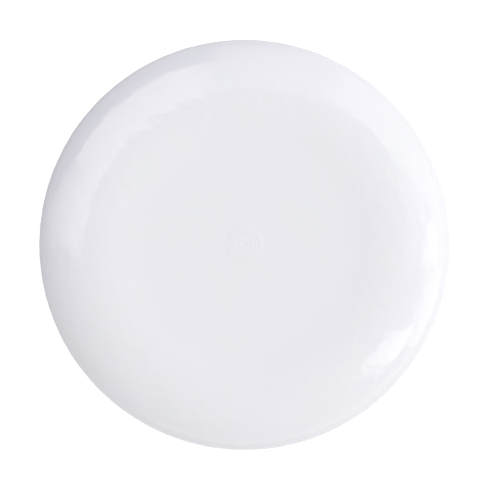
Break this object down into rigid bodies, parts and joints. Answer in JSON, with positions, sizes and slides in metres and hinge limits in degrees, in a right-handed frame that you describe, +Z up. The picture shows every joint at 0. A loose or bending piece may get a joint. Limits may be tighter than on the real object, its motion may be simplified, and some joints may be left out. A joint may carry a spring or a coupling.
{
  "type": "flying disc",
  "caption": "Round throwing disc moulded as a hollow shell: a flat, slightly dished centre plate, a smooth rounded shoulder and a deep rim with a turned-in lip, open underneath for the fingers.",
  "frame": {"origin": "on the disc's axis, in the plane that the rim's foot stands on", "axes": "+Z up along the disc's axis, out of its top face; X and Y lie in the plane of the rim's foot"},
  "size_m": [0.235, 0.235, 0.027],
  "materials": {
    "white_plastic": "gloss"
  },
  "bodies": {
    "root": {"disc_moulding": "white_plastic"}
  },
  "joints": []
}
